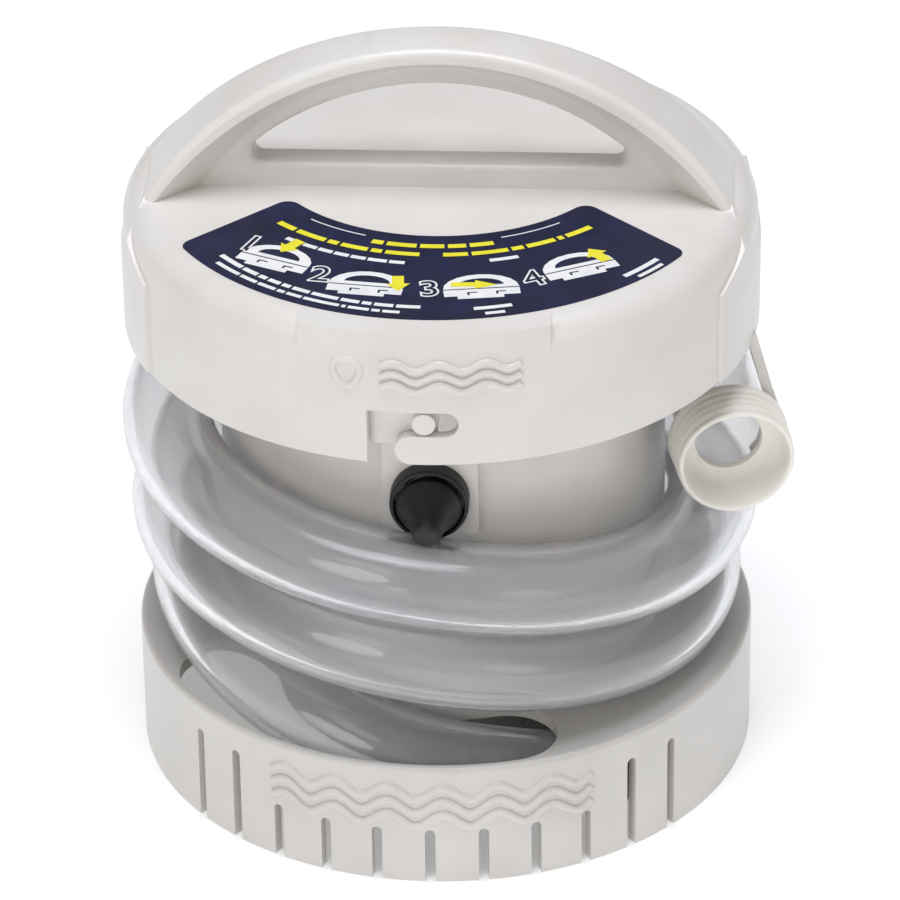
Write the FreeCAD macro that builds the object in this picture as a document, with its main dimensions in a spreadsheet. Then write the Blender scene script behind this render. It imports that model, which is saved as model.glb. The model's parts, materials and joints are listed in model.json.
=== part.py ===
"""Hand-held battery bilge pump: bayonet cap with slab handle, battery housing with
a booted switch, motor, impeller and volute in a slotted strainer foot, and a vinyl
hose wound round the waist.

Frame: origin at the bottom centre of the strainer foot, +Z up, the front (switch
side) faces -Y. Millimetres and degrees.
"""
import FreeCAD, Part
import math
import os
import re

Vector = FreeCAD.Vector
Rotation = FreeCAD.Rotation
UP = Vector(0, 0, 1)

# ---------------------------------------------------------------- driving dimensions
SIZES = {
    # strainer foot
    "foot_radius": 70.5, "foot_wall": 2.5, "foot_height": 30.0, "foot_deck": 3.0, "foot_edge": 1.2,
    "inlet_count": 11, "inlet_pitch": 9.75, "inlet_width": 2.35, "inlet_tall": 23.5, "inlet_short": 13.7,
    "hose_gap_inner": 46.3, "hose_gap_outer": 68.8, "hose_gap_first": -157.0, "hose_gap_last": -62.0,
    # battery housing
    "waist_radius": 46.3, "waist_top": 52.0, "case_radius": 50.3, "case_foot": 57.0, "case_top": 134.0,
    "case_wall": 2.4, "well_radius": 18.5, "well_bottom": 25.2, "well_wall": 2.4, "tray_z": 58.0,
    "lug_radius": 67.4, "lug_bottom": 111.4, "lug_top": 127.0, "lug_before": 16.0, "lug_after": 2.5,
    "pin_radius": 2.5, "pin_reach": 70.4, "pin_z": 118.1,
    "boss_half": 10.5, "boss_reach": 52.3, "boss_bottom": 80.4,
    # switch
    "switch_z": 89.5, "boot_radius": 8.7, "boot_length": 4.4, "boot_bore": 7.7, "tip_ball": 7.35,
    "tip_length": 12.4, "tip_radius": 3.3, "tip_tilt": 9.0, "bush_radius": 5.9, "lever_radius": 1.5,
    # cap
    "cap_radius": 70.5, "cap_wall": 2.5, "cap_bottom": 108.3, "cap_deck": 140.0, "cap_shoulder": 6.5,
    "pad_radius": 71.2, "pad_half": 33.0, "pad_top": 130.0, "plate_half": 27.0, "plate_bottom": 128.0,
    "socket_inner": 51.9, "socket_outer": 54.4, "socket_bottom": 128.2,
    "arch_centre": 107.0, "arch_half": 74.5, "arch_rise": 68.0, "arch_top_half": 6.4, "arch_foot_half": 13.0,
    "web_half": 4.0, "inner_half": 62.0, "inner_rise": 62.5, "outer_half": 71.0, "outer_rise": 69.5,
    "window_half": 41.0, "window_sill": 145.5, "window_side": 150.0, "window_crown": 165.3,
    "window_corner": 2.1, "crest_round": 2.0, "window_edge": 1.5, "root_radius": 2.0,
    "entry_width": 6.0, "entry_angle": -7.55, "run_height": 5.9, "run_end": 3.7, "tongue_tip": 3.45,
    # hose and its fitting
    "hose_radius": 10.3, "thread_radius": 13.3, "fitting_length": 11.5, "fitting_bore": 11.9,
    "fitting_hole": 7.6,
    # cells
    "cell_radius": 17.1, "cell_length": 61.5, "cell_circle": 20.2, "cell_z": 66.0,
    # motor and pump
    "motor_radius": 13.85, "motor_bottom": 29.0, "motor_top": 53.4, "shaft_radius": 1.6,
    "volute_radius": 38.0, "volute_bottom": 8.2, "volute_top": 25.0, "chamber_radius": 26.0,
    "impeller_radius": 22.0, "outlet_z": 15.9, "outlet_radius": 7.4,
}

doc = FreeCAD.newDocument("bilge_pump")
sheet = doc.addObject("Spreadsheet::Sheet", "dims")
for row, (alias, value) in enumerate(SIZES.items(), start=1):
    sheet.set(f"A{row}", alias)
    sheet.set(f"B{row}", str(value))
    sheet.setAlias(f"B{row}", alias)
doc.recompute()

NODES = []


def size(alias):
    """A driving dimension's value, read from the sheet."""
    return float(sheet.get(alias))


def bind(obj, prop, text):
    """Bind a property to an expression whose words are aliases of the sheet."""
    text = re.sub(r"[a-z]+(?:_[a-z]+)+", lambda word: "dims." + word.group(0), str(text))
    obj.setExpression(prop, text)


def place(obj, at=(0, 0, 0), turn=None):
    """Place an object at three expressions, with an optional rotation."""
    obj.Placement = FreeCAD.Placement(Vector(0, 0, 0), turn or Rotation())
    for name, text in zip("xyz", at):
        bind(obj, f"Placement.Base.{name}", text)
    return obj


def around(phi, radius, z):
    """Three expressions for a point at an angle, radius and height."""
    return (f"({radius}) * cos({phi})", f"({radius}) * sin({phi})", z)


def facing(phi):
    """Rotation that lays a shape's own Z axis along the outward direction at phi."""
    return Rotation(UP, phi) * Rotation(Vector(0, 1, 0), 90)


def cylinder(name, radius, height, at=(0, 0, 0), turn=None, angle=None):
    obj = doc.addObject("Part::Cylinder", name)
    bind(obj, "Radius", radius)
    bind(obj, "Height", height)
    if angle is not None:
        bind(obj, "Angle", angle)
    return place(obj, at, turn)


def cone(name, radius_low, radius_high, height, at=(0, 0, 0), turn=None):
    obj = doc.addObject("Part::Cone", name)
    bind(obj, "Radius1", radius_low)
    bind(obj, "Radius2", radius_high)
    bind(obj, "Height", height)
    return place(obj, at, turn)


def box(name, length, width, height, at=(0, 0, 0), turn=None):
    obj = doc.addObject("Part::Box", name)
    bind(obj, "Length", length)
    bind(obj, "Width", width)
    bind(obj, "Height", height)
    return place(obj, at, turn)


def ring(name, inner, outer, height, z):
    return cut(name, cylinder(name + "_outer", outer, height, (0, 0, z)),
               cylinder(name + "_inner", inner, f"{height} + 2", (0, 0, f"({z}) - 1")))


def sector(name, inner, outer, height, z, first, sweep):
    """Part of a ring that starts at angle first and sweeps counter-clockwise."""
    whole = cylinder(name + "_wedge", outer, height, (0, 0, z), Rotation(UP, first), sweep)
    return cut(name, whole, cylinder(name + "_core", inner, f"{height} + 2", (0, 0, f"({z}) - 1")))


def fuse(name, *shapes):
    obj = doc.addObject("Part::MultiFuse", name)
    obj.Shapes = list(shapes)
    obj.Refine = True
    return obj


def cut(name, base, *tools):
    tool = tools[0] if len(tools) == 1 else fuse(name + "_tools", *tools)
    obj = doc.addObject("Part::Cut", name)
    obj.Base = base
    obj.Tool = tool
    obj.Refine = True
    return obj


def common(name, first, second):
    obj = doc.addObject("Part::MultiCommon", name)
    obj.Shapes = [first, second]
    return obj


def group(name, *shapes):
    """Separate solids that share one node, such as a set of screws."""
    obj = doc.addObject("Part::Compound", name)
    obj.Links = list(shapes)
    return obj


def shaped(name, shape):
    """A feature whose shape comes from Part's own functions."""
    obj = doc.addObject("Part::Feature", name)
    obj.Shape = shape
    return obj


def rounded(name, base, radius, wanted):
    """Fillet the edges of base that the test picks."""
    doc.recompute()
    obj = doc.addObject("Part::Fillet", name)
    obj.Base = base
    value = size(radius) if isinstance(radius, str) else radius
    obj.Edges = [(i, value, value) for i, edge in enumerate(base.Shape.Edges, start=1) if wanted(edge)]
    if not obj.Edges:
        raise RuntimeError(f"{name}: no edge to round")
    return obj


def node(name, obj):
    obj.Label = name
    NODES.append(obj)
    return obj


def flat_at(z):
    """Test for an edge that lies level at height z."""
    return lambda edge: all(abs(v.Z - z) < 0.01 for v in edge.Vertexes) and \
        abs(edge.BoundBox.ZLength) < 0.01


def screw(name, at, head_radius, head_height, shank_radius, shank_length, turn=None):
    """Pan-head screw that points up from its head, with a driver recess."""
    head = cylinder(name + "_head", head_radius, head_height, (0, 0, -head_height))
    shank = cylinder(name + "_shank", shank_radius, shank_length)
    bar = 0.9
    reach = head_radius * 1.1
    recess = fuse(name + "_cross",
                  box(name + "_bar_a", reach, bar, 1.2, (-reach / 2, -bar / 2, -head_height - 0.1)),
                  box(name + "_bar_b", bar, reach, 1.2, (-bar / 2, -reach / 2, -head_height - 0.1)))
    return place(cut(name, fuse(name + "_solid", head, shank), recess), at, turn)


# ---------------------------------------------------------------- strainer foot
HOSE_MID = (size("hose_gap_inner") + size("hose_gap_outer")) / 2
GAP_HALF = (size("hose_gap_outer") - size("hose_gap_inner")) / 2
SCREW_ANGLES = (90, 205, 335)
SCREW_CIRCLE = 38.0
PUMP_ANGLES = (30, 150, 270)
PUMP_CIRCLE = 32.5
SCREW_HOLE, SCREW_SHANK = 1.85, 1.75
SEATS = [(phi, SCREW_CIRCLE) for phi in SCREW_ANGLES] + [(phi, PUMP_CIRCLE) for phi in PUMP_ANGLES]


def inlet_slots(middle, label):
    """Row of inlet slots through the wall, open below, the outer two each side tall."""
    count = int(size("inlet_count"))
    cutters = []
    for i in range(count):
        phi = middle + (i - (count - 1) / 2) * size("inlet_pitch")
        top = "inlet_tall" if i in (0, 1, count - 2, count - 1) else "inlet_short"
        turn = Rotation(UP, phi)
        name = f"{label}_{i}"
        leg = box(name + "_leg", "foot_wall * 3", "inlet_width", f"{top} - inlet_width / 2 + 1",
                  (f"(foot_radius - foot_wall * 2) * cos({phi}) + inlet_width / 2 * sin({phi})",
                   f"(foot_radius - foot_wall * 2) * sin({phi}) - inlet_width / 2 * cos({phi})", -1), turn)
        crown = cylinder(name + "_crown", "inlet_width / 2", "foot_wall * 3",
                         around(phi, "foot_radius - foot_wall * 2", f"{top} - inlet_width / 2"), facing(phi))
        cutters += [leg, crown]
    return cutters


shell = rounded("foot_drum", cylinder("foot_blank", "foot_radius", "foot_height"), "foot_edge",
                flat_at(size("foot_height")))
gap_sweep = size("hose_gap_last") - size("hose_gap_first") - 2 * math.degrees(GAP_HALF / HOSE_MID)
gap_first = size("hose_gap_first") + math.degrees(GAP_HALF / HOSE_MID)
hose_gap = fuse(
    "hose_gap",
    sector("hose_gap_arc", "hose_gap_inner", "hose_gap_outer", "foot_deck + 2",
           "foot_height - foot_deck - 1", gap_first, gap_sweep),
    *[cylinder(f"hose_gap_end_{i}", "(hose_gap_outer - hose_gap_inner) / 2", "foot_deck + 2",
               around(phi, "(hose_gap_outer + hose_gap_inner) / 2", "foot_height - foot_deck - 1"))
      for i, phi in enumerate((gap_first, gap_first + gap_sweep))])
node("base_strainer", cut(
    "base_strainer", shell,
    cylinder("foot_cavity", "foot_radius - foot_wall", "foot_height - foot_deck + 1", (0, 0, -1)),
    cylinder("foot_eye", "well_radius + 0.3", "foot_deck + 4", (0, 0, "foot_height - foot_deck - 2")),
    hose_gap,
    *[cylinder(f"foot_hole_{phi}", SCREW_HOLE, "foot_deck + 4", around(phi, circle, "foot_height - 5"))
      for phi, circle in SEATS],
    *inlet_slots(-90, "front_slot"),
    *inlet_slots(90, "rear_slot")))

# ---------------------------------------------------------------- battery housing
PIN_ANGLES = (-90, 30, 150)


def lugs():
    """Three bayonet lugs, each a pad under the skirt with a pin that ends flush with it."""
    pads = []
    for phi in PIN_ANGLES:
        first = phi - size("lug_before")
        pads.append(sector(f"lug_{phi}", "case_radius - 1", "lug_radius", "lug_top - lug_bottom",
                           "lug_bottom", first, "lug_before + lug_after"))
        pads.append(cylinder(f"pin_{phi}", "pin_radius", "pin_reach - lug_radius + 1",
                             around(phi, "lug_radius - 1", "pin_z"), facing(phi)))
    return pads


housing_outer = fuse(
    "housing_outer",
    cylinder("well_cup", "well_radius", "foot_height - well_bottom + 1", (0, 0, "well_bottom")),
    cylinder("waist", "waist_radius", "waist_top - foot_height", (0, 0, "foot_height")),
    cone("flare", "waist_radius", "case_radius", "case_foot - waist_top", (0, 0, "waist_top")),
    cylinder("case", "case_radius", "case_top - case_foot", (0, 0, "case_foot")),
    common("switch_boss",
           box("boss_block", "boss_half * 2", 30, "lug_bottom - boss_bottom + 1",
               ("-boss_half", "-boss_reach", "boss_bottom")),
           cylinder("boss_limit", "boss_reach + 1", 60, (0, 0, 70))),
    *lugs())
housing_inner = fuse(
    "housing_inner",
    cylinder("well_bore", "well_radius - well_wall", 20, (0, 0, "well_bottom + well_wall")),
    cylinder("waist_bore", "waist_radius - case_wall", "waist_top - foot_height - case_wall",
             (0, 0, "foot_height + case_wall")),
    cone("flare_bore", "waist_radius - case_wall", "case_radius - case_wall", "case_foot - waist_top",
         (0, 0, "waist_top")),
    cylinder("case_bore", "case_radius - case_wall", "case_top - case_foot + 1", (0, 0, "case_foot")),
    cylinder("seal_bore", 6.05, 6, (0, 0, "well_bottom - 1")),
    cylinder("switch_bore", "bush_radius + 0.05", 20, (0, -40, "switch_z"), Rotation(Vector(1, 0, 0), 90)))
seal_groove = ring("seal_groove", 48.75, 52, 2.8, 129.9)
RETAINER_CIRCLE = 23.0
screw_posts = [cylinder(f"post_{phi}", 4.2, 9, around(phi, circle, "foot_height + 1"))
               for phi, circle in SEATS]
screw_posts += [cylinder(f"motor_post_{phi}", 3.6, "motor_top - foot_height - 1",
                         around(phi, RETAINER_CIRCLE, "foot_height + 1")) for phi in SCREW_ANGLES]
post_holes = [cylinder(f"post_hole_{phi}", 1.8, 9.5, around(phi, circle, "foot_height - 1"))
              for phi, circle in SEATS]
post_holes += [cylinder(f"motor_post_hole_{phi}", 1.3, 9, around(phi, RETAINER_CIRCLE, "motor_top - 8"))
               for phi in SCREW_ANGLES]
hollow_case = cut("hollow_case", housing_outer, housing_inner)
tray_ledge = ring("tray_ledge", "waist_radius - case_wall + 1", "case_radius - case_wall + 1", 1.9,
                  "tray_z - 1.95")
node("battery_housing", cut("battery_housing",
                            fuse("case_with_posts", hollow_case, tray_ledge, *screw_posts),
                            seal_groove, *post_holes))

cap_seal = doc.addObject("Part::Torus", "cap_seal")
cap_seal.Radius1 = 50.15
cap_seal.Radius2 = 1.35
node("cap_seal", place(cap_seal, (0, 0, 131.3)))

# ---------------------------------------------------------------- cells and contacts
CELL_ANGLES = (90, 210, 330)
TRAY_RADIUS = size("case_radius") - size("case_wall") - 0.2
WIRE_HOLE, WIRE_SLACK = 3.0, 1.2

node("battery_tray", cut(
    "battery_tray", cylinder("tray_disc", TRAY_RADIUS, 2.4, (0, 0, "tray_z")),
    *[cylinder(f"tray_wire_{x}", WIRE_HOLE, 5, (x, -40 + WIRE_SLACK, "tray_z - 1")) for x in (-9, 9)]))
node("lower_contact_plate", cut(
    "lower_contact_plate", cylinder("lower_disc", TRAY_RADIUS, 1.4, (0, 0, "tray_z + 2.5")),
    *[cylinder(f"lower_wire_{x}", WIRE_HOLE, 5, (x, -40 + WIRE_SLACK, "tray_z")) for x in (-9, 9)]))
for i, phi in enumerate(CELL_ANGLES, start=1):
    can = cylinder(f"cell_can_{i}", "cell_radius", "cell_length - 1.6", around(phi, "cell_circle", "cell_z"))
    nub = cylinder(f"cell_nub_{i}", 4.7, 1.7, around(phi, "cell_circle", "cell_z + cell_length - 1.7"))
    node(f"d_cell_{i}", fuse(f"d_cell_{i}", can, nub))


def leaf_spring(name, phi):
    """Bent leaf that stands on the lower contacts and bears on a cell's base."""
    low, high = size("tray_z") + 4.45, size("cell_z") - 0.05
    thick, half = 0.4, 5.5
    points = [(-half, low), (half, low), (half, low + thick), (-half + 1, low + thick),
              (1.5, high - thick), (3.5, high - thick), (3.5, high), (1.3, high), (-half, low + thick + 0.3)]
    wire = Part.makePolygon([Vector(x, -4, z) for x, z in points + points[:1]])
    leaf = shaped(name, Part.Face(wire).extrude(Vector(0, 8, 0)))
    return place(leaf, around(phi, "cell_circle", 0))


node("cell_springs", group("cell_springs", *[leaf_spring(f"spring_{phi}", phi) for phi in CELL_ANGLES]))


def strips(name, z, thickness, radius):
    """Contact plates: one long strip that joins two cells and one pad for the third."""
    bridge = box(name + "_bridge", 2 * radius + 30, 14, thickness,
                 (f"-{radius + 15}", "-cell_circle / 2 - 7", z))
    pad = cylinder(name + "_pad", 8.5, thickness, (0, "cell_circle", z))
    return node(name, group(name, bridge, pad))


strips("lower_contacts", "tray_z + 4.0", 0.4, 18.0)
strips("upper_contacts", "cell_z + cell_length + 0.1", 0.4, 12.0)
node("upper_contact_plate", cylinder("upper_contact_plate", TRAY_RADIUS, 2.0,
                                     (0, 0, "cell_z + cell_length + 0.6")))

# ---------------------------------------------------------------- switch
OUT = Rotation(Vector(1, 0, 0), 90)
PIVOT = Vector(0, -54.6, size("switch_z"))

node("switch_body", box("switch_body", 13, 15, 13, (-6.5, -46.9, "switch_z - 6.5")))
node("switch_bushing", cut(
    "switch_bushing",
    cylinder("bushing_barrel", "bush_radius", 6.6, (0, -46.95, "switch_z"), OUT),
    cylinder("bushing_bore", 3.4, 6.0, (0, -49.0, "switch_z"), OUT)))
nut_blank = doc.addObject("Part::Prism", "nut_blank")
nut_blank.Polygon = 6
nut_blank.Circumradius = 7.2
nut_blank.Height = 1.0
place(nut_blank, (0, -52.35, "switch_z"), OUT)
node("switch_nut", cut("switch_nut", nut_blank,
                       cylinder("nut_bore", "bush_radius + 0.05", 3, (0, -51.9, "switch_z"), OUT)))
node("boot_collar", cut(
    "boot_collar",
    cylinder("collar_solid", "boot_radius", "boot_length", (0, -52.35, "switch_z"), OUT),
    cylinder("collar_bore", "boot_bore", 6, (0, -51.9, "switch_z"), OUT)))

TILT = Rotation(Vector(1, 0, 0), 90 + size("tip_tilt"))
LEVER_BACK = 1.2
LEVER_AHEAD = 8.5


def along_lever(distance):
    """Point on the lever's axis, at a distance ahead of its pivot."""
    return PIVOT + TILT.multVec(Vector(0, 0, distance))


ball = doc.addObject("Part::Sphere", "tip_sphere")
bind(ball, "Radius", "tip_ball")
place(ball, tuple(PIVOT))
behind = box("tip_behind", 30, 30, 20, tuple(along_lever(1.4) + TILT.multVec(Vector(-15, -15, -20))), TILT)
taper = cone("tip_taper", 6.9, "tip_radius", "tip_length - 2.4 - tip_radius", tuple(along_lever(2.4)), TILT)
nose = doc.addObject("Part::Sphere", "tip_nose")
bind(nose, "Radius", "tip_radius")
place(nose, tuple(along_lever(size("tip_length") - size("tip_radius"))))
node("boot_tip", cut(
    "boot_tip", fuse("tip_solid", cut("tip_dome", ball, behind), taper, nose),
    cylinder("tip_bore", "lever_radius + 0.02", LEVER_AHEAD, tuple(along_lever(0.05)), TILT)))
node("switch_lever", fuse(
    "switch_lever",
    cylinder("lever_rod", "lever_radius", LEVER_AHEAD + LEVER_BACK - 0.2, tuple(along_lever(-LEVER_BACK)),
             TILT),
    cylinder("lever_pivot", 0.9, 7, tuple(PIVOT - Vector(3.5, 0, 0)), Rotation(Vector(0, 1, 0), 90))))

# ---------------------------------------------------------------- cap


def arch(name, half, rise, depth, y):
    """Elliptic slab across the cap, seen from the front."""
    outline = doc.addObject("Part::Ellipse", name + "_outline")
    bind(outline, "MajorRadius", half)
    bind(outline, "MinorRadius", rise)
    place(outline, (0, y, "arch_centre"), OUT)
    slab = doc.addObject("Part::Extrusion", name)
    slab.Base = outline
    slab.DirMode = "Custom"
    slab.Dir = Vector(0, -1, 0)
    bind(slab, "LengthFwd", depth)
    slab.Solid = True
    return slab


def side_outline():
    """The cap's handle and side pads, seen from the side."""
    pad, top = size("pad_half"), size("pad_top")
    foot, deck = size("arch_foot_half"), size("cap_deck")
    crest, crown = size("arch_top_half"), size("arch_centre") + size("arch_rise") + 1
    half = [(pad, size("cap_bottom")), (pad, top), (foot, deck), (crest, crown)]
    points = [Vector(-90, y, z) for y, z in half] + [Vector(-90, -y, z) for y, z in reversed(half)]
    face = Part.Face(Part.Wire(Part.makePolygon(points + [points[0]])))
    return face.extrude(Vector(180, 0, 0))


def level_ellipse(half, rise, y):
    """Ellipse in an upright plane across the cap, at depth y."""
    flat = Part.Ellipse(Vector(0, 0, 0), max(half, rise), min(half, rise)).toShape()
    if rise > half:
        flat.rotate(Vector(0, 0, 0), UP, -90)
    flat.rotate(Vector(0, 0, 0), Vector(1, 0, 0), 90)
    flat.translate(Vector(0, y, size("arch_centre")))
    return Part.Wire(flat)


def hand_recess(name, side):
    """Space in front of or behind the handle's web: it widens from the web outwards."""
    near, spread = size("web_half"), 12.0
    grow = spread / (size("arch_foot_half") - near)
    far_half = size("inner_half") + grow * (size("outer_half") - size("inner_half"))
    far_rise = size("inner_rise") + grow * (size("outer_rise") - size("inner_rise"))
    wires = [level_ellipse(size("inner_half"), size("inner_rise"), side * near),
             level_ellipse(far_half, far_rise, side * (near + spread))]
    return shaped(name, Part.makeLoft(wires, True, True))


def window():
    """Finger window through the handle: level sill, round corners, arched top."""
    half, sill = size("window_half"), size("window_sill")
    side, crown = size("window_side"), size("window_crown")
    at = lambda x, z: Vector(x, 30, z)
    edges = [
        Part.Arc(at(-half, side), at(0, crown), at(half, side)).toShape(),
        Part.LineSegment(at(half, side), at(half, sill)).toShape(),
        Part.LineSegment(at(half, sill), at(-half, sill)).toShape(),
        Part.LineSegment(at(-half, sill), at(-half, side)).toShape()]
    block = shaped("window_block", Part.Face(Part.Wire(edges)).extrude(Vector(0, -60, 0)))
    return rounded("window", block, "window_corner", lambda edge: edge.BoundBox.YLength > 50)


def bayonet_slot(phi):
    """J slot: entry leg from the skirt's edge, level run to a round end, round tongue."""
    name = f"j_slot_{phi + 180}"
    deep, reach = "cap_radius - 4", 7
    entry = phi + size("entry_angle")
    low = "pin_z - run_height / 2"
    side = Rotation(UP, entry)

    def slab(label, first, width, height):
        return box(f"{name}_{label}", reach, width, height,
                   (f"({deep}) * cos({entry}) - ({first}) * sin({entry})",
                    f"({deep}) * sin({entry}) + ({first}) * cos({entry})", "cap_bottom - 1"), side)

    leg = slab("leg", "-entry_width / 2", "entry_width", "pin_z + run_height / 2 - cap_bottom + 1")
    tip_angle = entry + math.degrees((size("entry_width") / 2 + size("tongue_tip")) / size("cap_radius"))
    below = slab("below_tongue", "entry_width / 2 - 0.1", "tongue_tip + 0.1",
                 "pin_z - run_height / 2 - cap_bottom + 1")
    tip = cylinder(f"{name}_tip", "tongue_tip", reach + 4,
                   around(tip_angle, "cap_radius - 6", "cap_bottom + tongue_tip"), facing(tip_angle))
    first = entry - math.degrees((size("entry_width") / 2 - 0.05) / size("cap_radius"))
    run = sector(f"{name}_run", deep, "cap_radius + 3", "run_height", low, first,
                 phi + size("run_end") - first)
    end = cylinder(f"{name}_end", "run_height / 2", reach,
                   around(phi + size("run_end"), deep, "pin_z"), facing(phi + size("run_end")))
    return [leg, cut(f"{name}_under", below, tip), run, end]


# Route of the hose's tail: its own points, hand-picked (see the hose section).
TAIL = [Vector(60.2, 13.2, 86.6), Vector(61.4, -1.6, 85.9), Vector(64.4, -16.2, 85.1)]
tail_way = (TAIL[2] - TAIL[1]).normalize()
TAIL_TURN = Rotation(UP, tail_way)


def hose_hook():
    """Arm on the cap that hangs outside the hose's tail and curls under it."""
    inner, outer, width = size("hose_radius") + 0.6, size("hose_radius") + 2.9, 7.4
    front = TAIL[2] - tail_way * 0.7
    across = Vector(-tail_way.y, tail_way.x, 0).normalize()
    if across.x < 0:
        across = across * -1

    def point(radius, angle):
        rad = math.radians(angle)
        return front + across * (radius * math.cos(rad)) + UP * (radius * math.sin(rad))

    upper, lower = 30, -48
    rise = UP * (size("cap_bottom") + 1.5 - front.z)
    top_inner, top_outer = (front + across * ((x - front.x) / across.x) + rise for x in (68.4, 70.6))
    edges = [
        Part.Arc(point(inner, upper), point(inner, (upper + lower) / 2), point(inner, lower)).toShape(),
        Part.LineSegment(point(inner, lower), point(outer, lower)).toShape(),
        Part.Arc(point(outer, lower), point(outer, (upper + lower) / 2), point(outer, upper)).toShape(),
        Part.LineSegment(point(outer, upper), top_outer).toShape(),
        Part.LineSegment(top_outer, top_inner).toShape(),
        Part.LineSegment(top_inner, point(inner, upper)).toShape()]
    return edges, width


drum = rounded("cap_drum", cylinder("cap_blank", "cap_radius", "cap_deck - cap_bottom",
                                    (0, 0, "cap_bottom")), "cap_shoulder", flat_at(size("cap_deck")))
nameplates = common("nameplates",
                    cylinder("plate_limit", "cap_radius", "cap_deck - plate_bottom", (0, 0, "plate_bottom")),
                    box("plate_block", "plate_half * 2", 160, 20, ("-plate_half", -80, "plate_bottom")))
handle = common("handle", common("handle_profile",
                                 arch("handle_slab", "arch_half", "arch_rise", 80, 40),
                                 shaped("side_profile", side_outline())),
                cylinder("handle_limit", "pad_radius", 100, (0, 0, "cap_bottom")))
above_deck = box("above_deck", 200, 200, 60, (-100, -100, "cap_deck"))
recesses = common("recesses",
                  group("recess_pair", hand_recess("front_recess", -1), hand_recess("rear_recess", 1)),
                  above_deck)
cavity = fuse(
    "cap_cavity",
    cylinder("cavity_low", "cap_radius - cap_wall", "cap_deck - cap_shoulder - cap_bottom + 1",
             (0, 0, "cap_bottom - 1")),
    cone("cavity_high", "cap_radius - cap_wall", "cap_radius - cap_wall - 4.5", 4.0,
         (0, 0, "cap_deck - cap_shoulder")))
socket = ring("cap_socket", "socket_inner", "socket_outer", "cap_deck - 2 - socket_bottom", "socket_bottom")
cap_solid = cut("cap_solid", cut("cap_hollow", fuse("cap_whole", drum, nameplates, handle), cavity),
                recesses, window())


def crest_edge(edge):
    """Long outer edges of the handle, over its whole arch."""
    return edge.BoundBox.ZMax > size("arch_centre") + size("arch_rise") - 2 and edge.BoundBox.XLength > 100


def on_web(edge):
    """Level in Y and on one face of the handle's web."""
    return edge.BoundBox.YLength < 0.01 and abs(abs(edge.BoundBox.YMax) - size("web_half")) < 0.01


def window_edge(edge):
    return on_web(edge) and edge.BoundBox.ZMin > size("window_sill") - 0.5 and \
        edge.BoundBox.ZMax < size("window_crown") + 0.5


def root_edge(edge):
    return on_web(edge) and edge.BoundBox.ZMax > size("window_crown") + 1


handle_round = rounded("handle_round", cap_solid, "crest_round", crest_edge)
window_round = rounded("window_round", handle_round, "window_edge", window_edge)
root_round = rounded("root_round", window_round, "root_radius", root_edge)
j_cuts = [piece for phi in PIN_ANGLES for piece in bayonet_slot(phi)]
hook_edges, hook_width = hose_hook()
hook = shaped("hose_hook", Part.Face(Part.Wire(hook_edges)).extrude(tail_way * -hook_width))
cap_body = fuse("cap_body", cut("cap_slotted", root_round, *j_cuts), socket, hook)
node("cap", cap_body)

# Label: a thin sticker with an outer arc, an inner arc and two straight sides.
LABEL_OUTER, LABEL_TIP, LABEL_CORNER, LABEL_MIDDLE, LABEL_THICK = 63.7, 55.0, (32.5, 10.3), 26.7, 0.15


def label_blank():
    z = size("cap_deck") + 0.02
    tip_y = -math.sqrt(LABEL_OUTER ** 2 - LABEL_TIP ** 2)
    x, y = LABEL_CORNER
    left_tip, right_tip = Vector(-LABEL_TIP, tip_y, z), Vector(LABEL_TIP, tip_y, z)
    left, right = Vector(-x, -y, z), Vector(x, -y, z)
    edges = [Part.Arc(left_tip, Vector(0, -LABEL_OUTER, z), right_tip).toShape(),
             Part.LineSegment(right_tip, right).toShape(),
             Part.Arc(right, Vector(0, -LABEL_MIDDLE, z), left).toShape(),
             Part.LineSegment(left, left_tip).toShape()]
    return Part.Face(Part.Wire(edges)).extrude(UP * LABEL_THICK)


node("cap_label", rounded("cap_label", shaped("label_blank", label_blank()), 3.0,
                          lambda edge: len(edge.Vertexes) == 2 and
                          abs(edge.Vertexes[0].Z - edge.Vertexes[1].Z) > 0.1))

# ---------------------------------------------------------------- motor
shaft_z = size("volute_bottom") + 2.2
node("motor_shaft", cylinder("motor_shaft", "shaft_radius", f"motor_top - {shaft_z} + 0.8", (0, 0, shaft_z)))
node("motor_can", cut(
    "motor_can",
    cylinder("can_outer", "motor_radius", "motor_top - motor_bottom - 2", (0, 0, "motor_bottom")),
    cylinder("can_inner", "motor_radius - 1", 40, (0, 0, "motor_bottom + 1")),
    cylinder("can_bearing", 3.3, 5, (0, 0, "motor_bottom - 1"))))
node("motor_end_bell", cut(
    "motor_end_bell", cylinder("bell_outer", "motor_radius", 2, (0, 0, "motor_top - 2")),
    cylinder("bell_bearing", 3.3, 5, (0, 0, "motor_top - 3"))))
for label, low in (("front_bearing", "motor_bottom - 1.2"), ("rear_bearing", "motor_top - 2.2")):
    node(label, ring(label, "shaft_radius + 0.04", 3.25, 2.4, low))
node("motor_magnets", group("motor_magnets", *[
    sector(f"magnet_{i}", 10.3, 12.8, 17, "motor_bottom + 3", first, 130)
    for i, first in enumerate((-65, 115))]))
armature_core = cut("armature_core", cylinder("core_disc", 9.7, 14, (0, 0, "motor_bottom + 4.5")),
                    cylinder("core_bore", "shaft_radius", 20, (0, 0, "motor_bottom + 2")),
                    *[box(f"core_slot_{phi}", 7, 1.4, 20,
                          (f"4.5 * cos({phi}) + 0.7 * sin({phi})", f"4.5 * sin({phi}) - 0.7 * cos({phi})",
                           "motor_bottom + 2"), Rotation(UP, phi)) for phi in range(0, 360, 60)])
node("armature", armature_core)
node("commutator", ring("commutator", "shaft_radius", 3.6, 2.6, "motor_bottom + 19.2"))
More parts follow.
